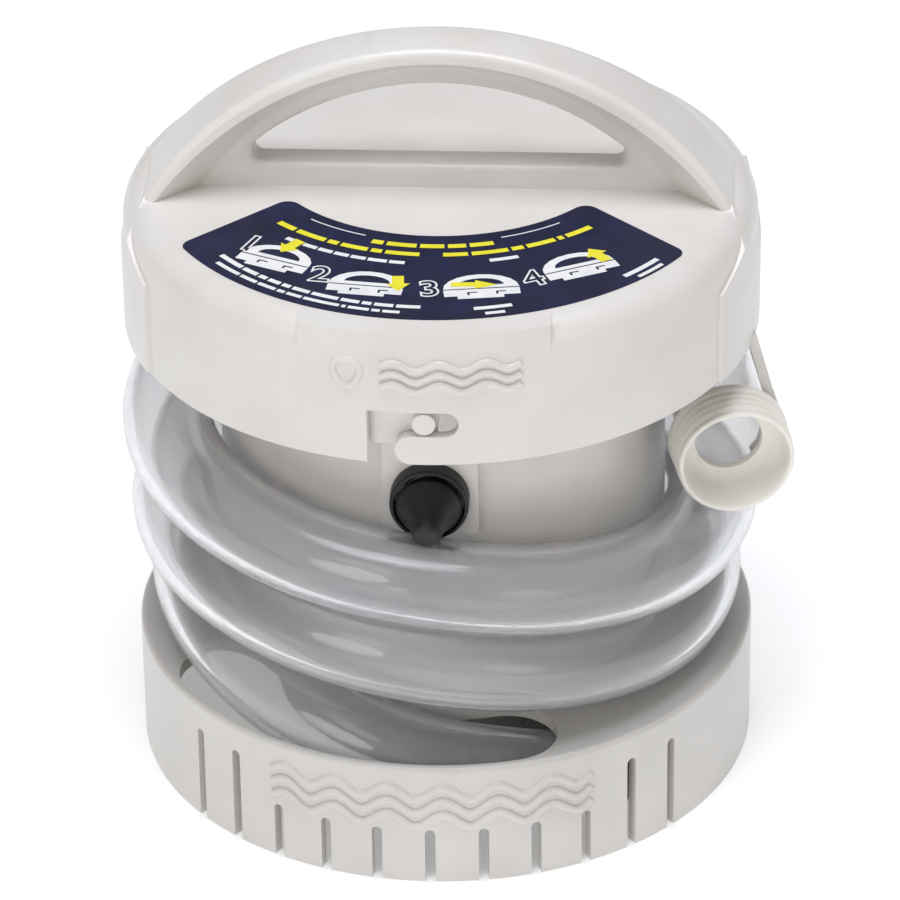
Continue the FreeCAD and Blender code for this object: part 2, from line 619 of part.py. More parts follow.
node("motor_terminals", group("motor_terminals", *[
    box(f"terminal_{side}", 3, 0.5, 2.4, (f"{side} * 9 - 1.5", -0.25, "motor_top + 0.05"))
    for side in (-1, 1)]))
RETAINER_THICK = 1.8
node("motor_retainer", cut(
    "motor_retainer", cylinder("retainer_disc", 28, RETAINER_THICK, (0, 0, "motor_top + 0.05")),
    cylinder("retainer_eye", 11.5, 6, (0, 0, "motor_top - 1")),
    *[cylinder(f"retainer_hole_{phi}", 1.4, 6, around(phi, RETAINER_CIRCLE, "motor_top - 1"))
      for phi in SCREW_ANGLES]))
node("retainer_screws", group("retainer_screws", *[
    screw(f"retainer_screw_{phi}", around(phi, RETAINER_CIRCLE, f"motor_top + {RETAINER_THICK + 0.1}"),
          2.6, 1.6, 1.25, 8, Rotation(Vector(1, 0, 0), 180)) for phi in SCREW_ANGLES]))
node("shaft_seal", ring("shaft_seal", "shaft_radius + 0.04", 6.0, 2.3, "well_bottom + 0.05"))

# ---------------------------------------------------------------- pump
BLADES = 6
blades = [box(f"blade_{i}", "impeller_radius - 6", 1.5, 8.5,
              (f"5 * cos({phi}) + 0.75 * sin({phi})", f"5 * sin({phi}) - 0.75 * cos({phi})",
               "volute_bottom + 2.6"), Rotation(UP, phi))
          for i, phi in enumerate(range(0, 360, 360 // BLADES))]
node("impeller", cut(
    "impeller", fuse("impeller_solid",
                     cylinder("impeller_disc", "impeller_radius", 1.6, (0, 0, "volute_bottom + 11")),
                     cylinder("impeller_hub", 5.5, 10.0, (0, 0, "volute_bottom + 2.6")), *blades),
    cylinder("impeller_bore", "shaft_radius", 20, (0, 0, "volute_bottom"))))

def on_coil(phi, radius, z):
    """Point of the hose's route at an angle, radius and height."""
    return Vector(radius * math.cos(math.radians(phi)), radius * math.sin(math.radians(phi)), z)


# Route of the hose's lead, from the pump's outlet up through the foot's deck.
LEAD = [Vector(27.0, -50.8, 15.9), on_coil(-84, 58.4, 21.4), on_coil(-106, 58.4, 27.8),
        on_coil(-128, 58.3, 34.5), on_coil(-150, 58.4, 40.1), on_coil(-175, 58.2, 41.5)]
outlet_way = (LEAD[1] - LEAD[0]).normalize()
BARB_LENGTH = 12.0
ELBOW = LEAD[0] - outlet_way * BARB_LENGTH
elbow_angle = math.degrees(math.atan2(ELBOW.y, ELBOW.x))
elbow_radius = math.hypot(ELBOW.x, ELBOW.y)
elbow_start = size("volute_radius") + 0.1
node("volute", cut(
    "volute",
    fuse("volute_solid",
         cylinder("volute_drum", "volute_radius", "volute_top - volute_bottom", (0, 0, "volute_bottom")),
         ring("volute_seat", "well_radius + 0.8", "volute_radius",
              "foot_height - foot_deck - volute_top + 0.95", "volute_top - 1")),
    cylinder("chamber", "chamber_radius", 14.0, (0, 0, "volute_bottom - 0.1")),
    cylinder("volute_eye", 3.0, 20, (0, 0, "volute_bottom")),
    cylinder("outlet_bore", "outlet_radius - 1.8", elbow_radius - 10, around(elbow_angle, 15, ELBOW.z),
             facing(elbow_angle)),
    *[cylinder(f"volute_hole_{phi}", SCREW_HOLE, 30, around(phi, PUMP_CIRCLE, 0)) for phi in PUMP_ANGLES],
    *[cylinder(f"head_relief_{phi}", 3.8, 5, around(phi, SCREW_CIRCLE, "volute_top - 0.3"))
      for phi in SCREW_ANGLES]))
bend_ball = doc.addObject("Part::Sphere", "bend_ball")
bind(bend_ball, "Radius", "outlet_radius")
node("outlet_elbow", cut(
    "outlet_elbow",
    fuse("elbow_solid",
         cylinder("outlet_run", "outlet_radius", elbow_radius - elbow_start + 2,
                  around(elbow_angle, elbow_start - 2, ELBOW.z), facing(elbow_angle)),
         place(bend_ball, tuple(ELBOW)),
         cylinder("outlet_barb", "outlet_radius", BARB_LENGTH - 0.4, tuple(ELBOW), Rotation(UP, outlet_way))),
    cylinder("elbow_trim", elbow_start, 40)))
node("inlet_plate", cut(
    "inlet_plate", cylinder("plate_disc", "volute_radius", 2.2, (0, 0, "volute_bottom - 2.25")),
    *[cylinder(f"inlet_eye_{i}", 3.2, 6, around(phi, 6.5, "volute_bottom - 4"))
      for i, phi in enumerate(range(0, 360, 60))],
    *[cylinder(f"plate_screw_hole_{phi}", SCREW_HOLE, 8, around(phi, PUMP_CIRCLE, "volute_bottom - 5"))
      for phi in PUMP_ANGLES]))

# ---------------------------------------------------------------- fasteners
node("base_screws", group("base_screws", *[
    screw(f"base_screw_{phi}", around(phi, SCREW_CIRCLE, "foot_height - foot_deck - 0.05"), 3.4, 1.8,
          SCREW_SHANK, 10) for phi in SCREW_ANGLES]))
node("pump_screws", group("pump_screws", *[
    screw(f"pump_screw_{phi}", around(phi, PUMP_CIRCLE, "volute_bottom - 2.3"), 3.4, 1.8, SCREW_SHANK, 31)
    for phi in PUMP_ANGLES]))

# ---------------------------------------------------------------- hose


def cord_wire(points):
    """Straight runs joined by tangent arcs, each as large as its two runs allow."""
    edges, start = [], points[0]
    for before, corner, after in zip(points, points[1:], points[2:]):
        way_in, way_out = (corner - before).normalize(), (after - corner).normalize()
        half = way_in.getAngle(way_out) / 2
        reach = 0.45 * min((corner - before).Length, (after - corner).Length)
        radius = reach / math.tan(half)
        first, last = corner - way_in * reach, corner + way_out * reach
        inward = (way_out - way_in).normalize()
        middle = corner + inward * (radius / math.cos(half) - radius)
        edges += [Part.LineSegment(start, first).toShape(), Part.Arc(first, middle, last).toShape()]
        start = last
        print("hose bend radius", round(radius, 1))
    edges.append(Part.LineSegment(start, points[-1]).toShape())
    return Part.Wire(edges)


def tube(name, points, radius):
    """Plain solid of a cord along its route."""
    wire = cord_wire(points)
    way = (points[1] - points[0]).normalize()
    section = Part.Wire(Part.makeCircle(radius, points[0], way))
    solid = wire.makePipeShell([section], True, True)
    print(name, "volume ratio", round(solid.Volume / (math.pi * radius ** 2 * wire.Length), 4),
          "length", round(wire.Length, 1))
    return shaped(name, solid)


node("lead_red", tube("lead_red", [Vector(*at) for at in (
    (9, -1.15, 53.9), (9, -1.15, 56.6), (9, -40, 56.6), (9, -40.4, 63), (9, -40, 79.5), (4, -40, 79.5),
    (4, -40, 82.9))], 0.8))
node("lead_black", tube("lead_black", [Vector(*at) for at in (
    (-9, -1.15, 53.9), (-9, -1.15, 56.6), (-9, -40, 56.6), (-9, -40, 63.3), (-9, -16.9, 63.3))], 0.8))
node("hose_lead", tube("hose_lead", LEAD, size("hose_radius")))
node("hose_tail", tube("hose_tail", TAIL, size("hose_radius")))
node("hose_coil", fuse(
    "hose_coil",
    sector("first_turn", 46.8, 67.8, 21.7, 30.3, -65, 247),
    sector("second_turn", 50.8, 71.3, 17.5, 52.0, 0, 360),
    sector("third_rise", 50.8, 72.5, 10.5, 69.5, 14, 296),
    sector("third_turn", 52.0, 73.5, 15.0, 80.0, 14.5, 199.5)))


def hose_fitting():
    """Male hose-thread fitting: barrel with raised threads, collar and stepped bore."""
    length, radius = size("fitting_length"), size("thread_radius")
    turn, back = Rotation(UP, tail_way), TAIL[2] + tail_way * 0.05

    def here(distance):
        return tuple(back + tail_way * distance)

    rings = [cylinder(f"thread_{i}", "thread_radius", 1.1, here(3.6 + i * 2.2), turn) for i in range(3)]
    body = fuse("fitting_solid",
                cylinder("fitting_barrel", "thread_radius - 0.9", length, here(0), turn),
                cylinder("fitting_collar", "thread_radius + 0.2", 2.2, here(0), turn),
                cylinder("fitting_rim", "thread_radius - 0.2", 1.2, here(length - 1.2), turn), *rings)
    return cut("hose_end_fitting", body,
               cylinder("fitting_bore_cut", "fitting_bore", length, here(2.2), turn),
               cylinder("fitting_hole_cut", "fitting_hole", length, here(-1), turn))


node("hose_end_fitting", hose_fitting())

# ---------------------------------------------------------------- check and write
doc.recompute()
problems = [f"{obj.Label}: {obj.State}" for obj in doc.Objects
            if any(word in obj.State for word in ("Invalid", "Error"))]
for obj in NODES:
    shape = obj.Shape
    if shape.isNull() or not shape.isValid() or not shape.Solids:
        problems.append(f"{obj.Label}: bad shape")
if problems:
    raise RuntimeError("; ".join(problems))

os.makedirs("parts", exist_ok=True)
for obj in NODES:
    obj.Shape.exportStep(f"parts/{obj.Label}.step")
    box_now = obj.Shape.BoundBox
    print(f"{obj.Label:22s} solids {len(obj.Shape.Solids)} volume {obj.Shape.Volume:10.1f}"
          f" z {box_now.ZMin:7.2f} {box_now.ZMax:7.2f}")
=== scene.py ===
"""Hand-held battery bilge pump: visible pieces, finishes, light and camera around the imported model.

Lengths are metres in the model's own frame; values named in millimetres are multiplied by MM.
"""
import json
import math

import bmesh
import bpy
from mathutils import Matrix, Quaternion, Vector


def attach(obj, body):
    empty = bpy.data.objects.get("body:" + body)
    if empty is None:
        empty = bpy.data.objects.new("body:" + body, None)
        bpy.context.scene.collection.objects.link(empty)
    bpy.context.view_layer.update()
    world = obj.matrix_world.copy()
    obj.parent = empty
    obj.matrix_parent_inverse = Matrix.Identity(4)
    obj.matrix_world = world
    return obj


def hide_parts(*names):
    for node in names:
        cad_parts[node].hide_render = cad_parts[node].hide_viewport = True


MM = 0.001

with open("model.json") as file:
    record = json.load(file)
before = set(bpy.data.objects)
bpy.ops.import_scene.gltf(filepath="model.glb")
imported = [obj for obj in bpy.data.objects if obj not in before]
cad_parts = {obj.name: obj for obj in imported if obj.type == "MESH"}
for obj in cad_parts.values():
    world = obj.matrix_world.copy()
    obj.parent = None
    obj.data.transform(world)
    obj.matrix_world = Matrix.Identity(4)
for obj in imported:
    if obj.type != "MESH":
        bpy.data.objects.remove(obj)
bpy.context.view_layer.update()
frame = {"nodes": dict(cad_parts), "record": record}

# ---------------------------------------------------------------- camera
LOOK_AT = Vector((0, 0, 0.07015))
CAMERA_DISTANCE, CAMERA_AZIMUTH, CAMERA_ELEVATION, CAMERA_ROLL = 1.300, 3.5, 30.72, -0.807
CAMERA_LENS, CAMERA_SHIFT, SENSOR_WIDTH = 228.3, 0.0067, 36
CLIP_START, CLIP_END = 0.05, 20


def outward(azimuth, elevation):
    """Direction from the object towards a viewer or a light."""
    a, e = math.radians(azimuth), math.radians(elevation)
    return Vector((math.sin(a) * math.cos(e), -math.cos(a) * math.cos(e), math.sin(e)))


def make_camera():
    back = outward(CAMERA_AZIMUTH, CAMERA_ELEVATION)
    data = bpy.data.cameras.new("camera")
    data.lens, data.sensor_width, data.shift_x = CAMERA_LENS, SENSOR_WIDTH, CAMERA_SHIFT
    data.clip_start, data.clip_end = CLIP_START, CLIP_END
    camera = bpy.data.objects.new("camera", data)
    camera.location = LOOK_AT + back * CAMERA_DISTANCE
    camera.rotation_mode = "QUATERNION"
    roll = Quaternion((0, 0, 1), math.radians(CAMERA_ROLL))
    camera.rotation_quaternion = (-back).to_track_quat("-Z", "Y") @ roll
    bpy.context.scene.collection.objects.link(camera)
    bpy.context.scene.camera = camera


make_camera()

# ---------------------------------------------------------------- hose route
HOSE_RADIUS, HOSE_BORE = 10.3 * MM, 7.9 * MM


def on_coil(phi, radius, z):
    """Point of the hose's route at an angle, radius and height, in metres."""
    a = math.radians(phi)
    return Vector((radius * math.cos(a), radius * math.sin(a), z)) * MM


LEAD = [Vector((27.0, -50.8, 15.9)) * MM, on_coil(-84, 58.4, 21.4), on_coil(-106, 58.4, 27.8),
        on_coil(-128, 58.3, 34.5), on_coil(-150, 58.4, 40.1), on_coil(-175, 58.2, 41.5)]
TAIL = [Vector(at) * MM for at in ((60.2, 13.2, 86.6), (61.4, -1.6, 85.9), (64.4, -16.2, 85.1))]
# Where the winding runs: clockwise degrees from the front, radius and height in millimetres.
STATIONS = ((85, 57.4, 41.2), (180, 57.4, 41.3), (270, 57.6, 41.2), (300, 57.8, 41.2), (330, 58.8, 46.2),
            (360, 60.6, 53.0), (400, 61.0, 58.6), (450, 61.0, 61.7), (540, 61.2, 62.3), (630, 61.2, 62.0),
            (660, 61.6, 63.0), (690, 62.2, 67.6), (720, 62.4, 73.7), (765, 62.4, 79.4), (810, 62.4, 83.2),
            (900, 62.4, 87.0), (978, 61.6, 86.7))
# Degrees between the control points of the winding.
TURN_STEP = 20
CURVE_STEPS = 10


def between(stations, theta):
    """Radius and height at an angle, on straight runs between the stations."""
    for (a, r0, z0), (b, r1, z1) in zip(stations, stations[1:]):
        if a <= theta <= b:
            t = (theta - a) / (b - a)
            return r0 + t * (r1 - r0), z0 + t * (z1 - z0)
    raise ValueError(theta)


def hose_route():
    """Control points: lead, the winding worked out turn by turn, and tail."""
    # A spline through points this far apart runs inside them by this share.
    spread = 1 / math.cos(math.radians(TURN_STEP / 2))
    first, last = STATIONS[0][0] + TURN_STEP, STATIONS[-1][0] - TURN_STEP
    count = round((last - first) / TURN_STEP)
    winding = []
    for i in range(count + 1):
        theta = first + (last - first) * i / count
        radius, z = between(STATIONS, theta)
        winding.append(on_coil(-90 - theta, radius * spread, z))
    return LEAD + winding + TAIL


def link(obj):
    bpy.context.scene.collection.objects.link(obj)
    return obj


def spline_curve(name, points, radius, sections=8):
    """Smooth tube through control points."""
    data = bpy.data.curves.new(name, "CURVE")
    data.dimensions = "3D"
    data.bevel_depth, data.bevel_resolution, data.resolution_u = radius, sections, CURVE_STEPS
    data.use_fill_caps = True
    spline = data.splines.new("NURBS")
    spline.points.add(len(points) - 1)
    for control, at in zip(spline.points, points):
        control.co = (*at, 1)
    spline.order_u = 3
    spline.use_endpoint_u = True
    return link(bpy.data.objects.new(name, data))


# ---------------------------------------------------------------- materials
# Shares of the noise at which the two colours of a finish are pure.
BLOTCH_DARK, BLOTCH_LIGHT = 0.35, 0.65
BLOTCH_DETAIL, GRAIN_DETAIL, GRAIN_STRENGTH = 3.0, 2.0, 0.6
# Roughness drifts between these shares of its typical value.
GLOSSIEST, DULLEST = 0.85, 1.2


def linear(code):
    """sRGB hex value as a linear colour."""
    channels = [int(code[i:i + 2], 16) / 255 for i in (1, 3, 5)]
    return (*[c / 12.92 if c <= 0.04045 else ((c + 0.055) / 1.055) ** 2.4 for c in channels], 1.0)


def add(tree, kind, settings=None, links=None):
    """Node with its inputs or properties set and its inputs linked."""
    made = tree.nodes.new(kind)
    for name, value in (settings or {}).items():
        if name in made.inputs:
            made.inputs[name].default_value = value
        else:
            setattr(made, name, value)
    for name, socket in (links or {}).items():
        tree.links.new(socket, made.inputs[name])
    return made


def finish_of(name, light, dark, roughness, blotch_mm, grain_mm, grain_depth_mm, **surface):
    """Material whose colour drifts between two hex values over blotches, under a fine grain."""
    material = bpy.data.materials.new(name)
    material.use_nodes = True
    tree = material.node_tree
    shader = tree.nodes["Principled BSDF"]
    where = add(tree, "ShaderNodeTexCoord").outputs["Object"]
    blotches = add(tree, "ShaderNodeTexNoise", {"Scale": 1 / (blotch_mm * MM), "Detail": BLOTCH_DETAIL},
                   {"Vector": where})
    ramp = add(tree, "ShaderNodeValToRGB", links={"Fac": blotches.outputs["Fac"]})
    for stop, position, code in zip(ramp.color_ramp.elements, (BLOTCH_DARK, BLOTCH_LIGHT), (dark, light)):
        stop.position, stop.color = position, linear(code)
    tree.links.new(ramp.outputs["Color"], shader.inputs["Base Color"])
    sheen = add(tree, "ShaderNodeMapRange", {"To Min": roughness * GLOSSIEST, "To Max": roughness * DULLEST},
                {"Value": blotches.outputs["Fac"]})
    tree.links.new(sheen.outputs["Result"], shader.inputs["Roughness"])
    grain = add(tree, "ShaderNodeTexNoise", {"Scale": 1 / (grain_mm * MM), "Detail": GRAIN_DETAIL},
                {"Vector": where})
    bump = add(tree, "ShaderNodeBump", {"Strength": GRAIN_STRENGTH, "Distance": grain_depth_mm * MM},
               {"Height": grain.outputs["Fac"]})
    tree.links.new(bump.outputs["Normal"], shader.inputs["Normal"])
    for socket, value in surface.items():
        shader.inputs[socket.replace("_", " ")].default_value = value
    return material


FINISHES = {
    # Injection-moulded ABS: warm white, satin, with a faint orange-peel skin and soft blotches of sheen.
    # The skin's real grain is finer; it is drawn at 0.9 mm so that it shows.
    "white_plastic": finish_of("moulded_abs_white", "#e6e2dd", "#e0dbd5", 0.30, 22, 0.9, 0.012, IOR=1.53),
    # The foot is the same ABS in a greyer copy: painted shade that tones down the light falling on the foot, and
    # a little duller.
    "foot_plastic_painted_shade": finish_of("moulded_abs_foot_painted_shade", "#ddd9d4", "#d6d2cd", 0.32, 22, 0.9, 0.012, IOR=1.53),
    # Moulded polypropylene of the inner parts: grey, waxy, duller than the shell.
    "grey_plastic": finish_of("moulded_polypropylene_grey", "#8a8985", "#7d7c78", 0.48, 14, 0.6, 0.02,
                              IOR=1.49),
    # Moulded nylon hose end in its natural colour: creamier than the shell, waxy.
    "natural_plastic": finish_of("moulded_nylon_natural", "#fcf8f1", "#f6f1e8", 0.36, 9, 0.5, 0.015,
                                 IOR=1.53),
    # Compression-moulded neoprene boot: deep black with a dusty grain.
    "boot_rubber": finish_of("moulded_neoprene_black", "#1a1a1b", "#0e0e0f", 0.46, 4, 0.35, 0.03, IOR=1.5),
    # Moulded nitrile of the seals: black and matt, with a fine parting bloom.
    "seal_rubber": finish_of("nitrile_seal_black", "#1d1d1d", "#121212", 0.55, 5, 0.4, 0.02, IOR=1.5),
    # Printed vinyl label under a clear laminate: flat navy, slightly uneven where it is stuck down.
    "label": finish_of("laminated_vinyl_navy", "#191c44", "#131634", 0.30, 6, 2.5, 0.02, IOR=1.5,
                       Specular_IOR_Level=0.22),
    # Heat-shrunk sleeve of the cells: smooth, dull gold.
    "cell_jacket": finish_of("shrink_sleeve_gold", "#a98a3c", "#8f7431", 0.3, 12, 1.0, 0.02, IOR=1.5),
    # Zinc-plated steel of screws, springs and shaft: bright grey with a faint crystal grain.
    "steel": finish_of("zinc_plated_steel", "#b9bbbd", "#9d9fa2", 0.28, 6, 0.5, 0.02, Metallic=1.0),
    # Stamped brass of contacts and bearings: yellow, with the rolled sheet's faint streaks.
    "brass": finish_of("stamped_brass", "#c9a65a", "#b08f48", 0.32, 5, 0.5, 0.02, Metallic=1.0),
    # Sintered ferrite and the lacquered iron next to it: charcoal, gritty.
    "magnet": finish_of("sintered_ferrite", "#3a3a3c", "#2b2b2d", 0.6, 3, 0.3, 0.04, IOR=1.6),
    # Extruded PVC of the leads: smooth, semi-matt.
    "wire_red": finish_of("pvc_wire_red", "#b01d16", "#971812", 0.4, 4, 0.5, 0.01, IOR=1.53),
    "wire_black": finish_of("pvc_wire_black", "#1c1c1c", "#111111", 0.4, 4, 0.5, 0.01, IOR=1.53),
    # Extruded plasticised vinyl: clear wall with a slight milkiness, glossy, with faint waves along it.
    "clear_vinyl": finish_of("extruded_vinyl_clear", "#ffffff", "#fafbfc", 0.06, 30, 14, 0.04, IOR=1.42,
                             Transmission_Weight=0.85),
    # Screen-printed inks on the label: matt and opaque.
    "ink_white": finish_of("screen_ink_white", "#f4f4f4", "#e9e9ea", 0.4, 5, 0.4, 0.004, IOR=1.5),
    "ink_yellow": finish_of("screen_ink_yellow", "#f4ec35", "#e9de22", 0.4, 5, 0.4, 0.004, IOR=1.5),
}

for part in frame["record"]["subparts"]:
    mesh = frame["nodes"][part["node"]].data
    mesh.materials.clear()
    mesh.materials.append(FINISHES[part["material_slot"]])


# ---------------------------------------------------------------- mesh helpers
# Points nearer than this are one point, in metres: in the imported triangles, and in pieces made here.
CAD_MERGE, OWN_MERGE = 2e-6, 1e-7
# Triangles that meet flatter than this many degrees are one face of the moulding.
FLAT_ANGLE = 0.2


def piece(name, bm, finish, body, replaced=(), smooth=30):
    """Object from a bmesh, smooth except at edges sharper than an angle, riding on a body."""
    for face in bm.faces:
        face.smooth = True
    for edge in bm.edges:
        edge.smooth = len(edge.link_faces) == 2 and edge.calc_face_angle() < math.radians(smooth)
    mesh = bpy.data.meshes.new(name)
    bm.to_mesh(mesh)
    bm.free()
    mesh.materials.append(FINISHES[finish])
    obj = link(bpy.data.objects.new(name, mesh))
    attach(obj, body)
    if replaced:
        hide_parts(*replaced)
    return obj


def joined(node):
    """A CAD node's triangles as one connected mesh."""
    bm = bmesh.new()
    bm.from_mesh(frame["nodes"][node].data)
    bmesh.ops.remove_doubles(bm, verts=bm.verts, dist=CAD_MERGE)
    bmesh.ops.dissolve_limit(bm, angle_limit=math.radians(FLAT_ANGLE), verts=bm.verts, edges=bm.edges)
    return bm


def turned(outline, steps=72):
    """Solid of revolution about Z from (radius, height) points in millimetres round its section."""
    bm = bmesh.new()
    verts = [bm.verts.new((radius * MM, 0, z * MM)) for radius, z in outline]
    edges = [bm.edges.new(pair) for pair in zip(verts, verts[1:] + verts[:1])]
    bmesh.ops.spin(bm, geom=verts + edges, axis=(0, 0, 1), cent=(0, 0, 0), angle=math.tau, steps=steps,
                   use_merge=True)
    bmesh.ops.remove_doubles(bm, verts=bm.verts, dist=OWN_MERGE)
    bmesh.ops.recalc_face_normals(bm, faces=bm.faces)
    return bm


def laid(bm, way, at):
    """Turn a shape's Z axis along a direction and move it to a point."""
    bm.transform(Matrix.Translation(at) @ way.to_track_quat("Z", "Y").to_matrix().to_4x4())
    return bm


def corner(radius_out, z_out, radius_in, z_in, steps=4):
    """Quarter round from one outline point to another, bulging towards (radius_out, z_in)."""
    turns = [math.pi / 2 * i / steps for i in range(steps, -1, -1)]
    return [(radius_in + (radius_out - radius_in) * math.sin(turn),
             z_out + (z_in - z_out) * math.cos(turn)) for turn in turns]


# ---------------------------------------------------------------- shell pieces
# Only edges sharper than this many degrees get a worked radius.
WORKED_EDGE_ANGLE = 40


def moulding(name, node, finish, body, edge_mm):
    """A CAD node's shape as one moulding with a small radius on its sharp edges."""
    obj = piece(name, joined(node), finish, body, [node])
    bevel = obj.modifiers.new("edge_radius", "BEVEL")
    bevel.width, bevel.segments, bevel.limit_method = edge_mm * MM, 2, "ANGLE"
    bevel.angle_limit = math.radians(WORKED_EDGE_ANGLE)
    bevel.harden_normals = True


moulding("cap_moulding", "cap", "white_plastic", "cap", 0.35)
# The strainer foot takes the greyer copy of the white ABS, which is painted shade.
moulding("strainer_moulding", "base_strainer", "foot_plastic_painted_shade", "pump", 0.35)
moulding("housing_moulding", "battery_housing", "white_plastic", "pump", 0.3)

# ---------------------------------------------------------------- hose
hose = spline_curve("hose", hose_route(), HOSE_RADIUS)
hose.data.materials.append(FINISHES["clear_vinyl"])
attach(hose, "pump")
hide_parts("hose_lead", "hose_coil", "hose_tail")


def hose_bore():
    """Inner wall of the hose, facing inwards."""
    inner = spline_curve("hose_bore_route", hose_route(), HOSE_BORE, 6)
    inner.data.use_fill_caps = False
    mesh = bpy.data.meshes.new_from_object(inner)
    bpy.data.objects.remove(inner)
    bm = bmesh.new()
    bm.from_mesh(mesh)
    bmesh.ops.reverse_faces(bm, faces=bm.faces)
    return piece("hose_bore", bm, "clear_vinyl", "pump", smooth=60)


bore = hose_bore()

# ---------------------------------------------------------------- hose fitting
THREAD_START, THREAD_PITCH, THREAD_TURNS = 3.4, 2.25, 3
# One ridge of the thread: radius, and height above where it starts.
THREAD_RIDGE = ((12.4, 0), (13.1, 0.35), (13.3, 0.65), (13.1, 0.95), (12.4, 1.3))
FITTING_FLANGE = [(7.6, 0.05), (13.0, 0.05), (13.5, 0.35), (13.5, 1.9), (13.2, 2.3), (12.4, 2.5)]
FITTING_MOUTH = [(12.4, 10.2), (12.95, 10.4), (13.1, 10.7), (13.1, 11.1), (12.8, 11.45), (12.4, 11.5),
                 (12.05, 11.35), (11.9, 11.0), (11.9, 2.6), (11.5, 2.2), (8.0, 2.2), (7.6, 1.9)]
thread = [(radius, THREAD_START + THREAD_PITCH * i + rise) for i in range(THREAD_TURNS)
          for radius, rise in THREAD_RIDGE]
tail_way = (TAIL[2] - TAIL[1]).normalized()
fitting = piece("hose_fitting", laid(turned(FITTING_FLANGE + thread + FITTING_MOUTH, 96), tail_way, TAIL[2]),
                "natural_plastic", "pump", ["hose_end_fitting"], smooth=50)

# ---------------------------------------------------------------- switch boot
SWITCH_Z = 89.5 * MM
COLLAR_FOOT = Vector((0, -52.35 * MM, SWITCH_Z))
COLLAR_OUTLINE = [(7.75, 0.05), (8.7, 0.05), *corner(8.7, 3.5, 7.9, 4.3), (7.75, 4.1)]
piece("boot_ring", laid(turned(COLLAR_OUTLINE), Vector((0, -1, 0)), COLLAR_FOOT),
      "boot_rubber", "pump", ["boot_collar"])
PIVOT = Vector((0, -54.6 * MM, SWITCH_Z))
TIP_TILT = math.radians(9)
TIP_OUTLINE = [(1.6, 0.3), (7.2, 1.4), (7.3, 1.9), (7.2, 2.5), (6.9, 3.1), (6.75, 3.4), (6.6, 3.7),
               (6.2, 4.3), (5.2, 5.8), (4.4, 7.3), (3.8, 8.8), (3.45, 10.2), (3.3, 11.0), (3.0, 11.7),
               (2.3, 12.2), (1.2, 12.4), (0, 12.4), (0, 9.0), (1.6, 8.9)]
lever_way = Vector((0, -math.cos(TIP_TILT), -math.sin(TIP_TILT)))
piece("boot_nipple", laid(turned(TIP_OUTLINE), lever_way, PIVOT), "boot_rubber", "toggle",
      ["boot_tip"], smooth=50)

# ---------------------------------------------------------------- label print
# Face of the label and thickness of one layer of ink.
LABEL_TOP, INK = 140.17 * MM, 0.02 * MM
# Degrees of arc in one straight step of a bar, and space between words as a share of a letter.
BAR_STEP, WORD_GAP = 2, 0.6


class Print:
    """Flat ink shapes on the label: collects faces, then makes one thin piece."""

    def __init__(self, name, finish, level):
        self.name, self.finish, self.bm = name, finish, bmesh.new()
        self.z = LABEL_TOP + INK * level

    def place(self, at, turn):
        """Turn in degrees and move to a point in millimetres, at this ink's level."""
        return (Matrix.Translation((at[0] * MM, at[1] * MM, self.z)) @
                Matrix.Rotation(math.radians(turn), 4, "Z"))

    def shape(self, points, at, turn):
        """Filled outline from millimetre points, turned in degrees and moved to a point."""
        place = self.place(at, turn)
        self.bm.faces.new([self.bm.verts.new(place @ Vector((x * MM, y * MM, 0))) for x, y in points])

    def bar(self, centre_y, radius, first, last, width):
        """Curved bar about a centre on the Y axis, between two angles from the front."""
        ends = []
        for side in (-1, 1):
            reach, turn = radius + side * width / 2, math.radians(first)
            ends.append(self.bm.verts.new((reach * math.sin(turn) * MM, (centre_y - reach * math.cos(turn)) * MM,
                                           self.z)))
        bmesh.ops.spin(self.bm, geom=ends + [self.bm.edges.new(ends)], axis=(0, 0, 1),
                       cent=(0, centre_y * MM, 0), angle=math.radians(last - first),
                       steps=max(1, round(abs(last - first) / BAR_STEP)))

    def words(self, centre_y, radius, first, last, width, lengths):
        """Row of bars of the given relative lengths that fills an arc, like a line of print."""
        unit = (last - first) / (sum(lengths) + WORD_GAP * (len(lengths) - 1))
        start = first
        for length in lengths:
            self.bar(centre_y, radius, start, start + length * unit, width)
            start += (length + WORD_GAP) * unit

    def numeral(self, digit, at, turn, height, weight):
        """Digit from the built-in font."""
        text = bpy.data.curves.new("digit", "FONT")
        text.body, text.size, text.offset = digit, height * MM, weight * MM
        text.align_x, text.align_y = "CENTER", "CENTER"
        holder = bpy.data.objects.new("digit", text)
        mesh = bpy.data.meshes.new_from_object(holder)
        bpy.data.objects.remove(holder)
        mesh.transform(self.place(at, turn))
        self.bm.from_mesh(mesh)

    def made(self):
        """The collected faces as one thin piece on the cap."""
        self.bm.normal_update()
        flipped = [face for face in self.bm.faces if face.normal.z < 0]
        bmesh.ops.reverse_faces(self.bm, faces=flipped)
        thick = bmesh.ops.extrude_face_region(self.bm, geom=self.bm.faces[:])
        top = [v for v in thick["geom"] if isinstance(v, bmesh.types.BMVert)]
        bmesh.ops.translate(self.bm, verts=top, vec=(0, 0, INK))
        bmesh.ops.recalc_face_normals(self.bm, faces=self.bm.faces)
        piece(self.name, self.bm, self.finish, "cap")


def on_label(angle, radius):
    """Point on the deck at an angle from the front, positive to the right, in millimetres."""
    return (radius * math.sin(math.radians(angle)), -radius * math.cos(math.radians(angle)))


def dome(half, height, lift, steps=10):
    """Outline of a low dome on a level base."""
    return [(half * math.cos(math.pi * i / steps), lift + height * math.sin(math.pi * i / steps))
            for i in range(steps + 1)]


# The two headings follow the label's inner edge, about a centre this far behind the drum's axis.
HEADING_CENTRE = 13.7
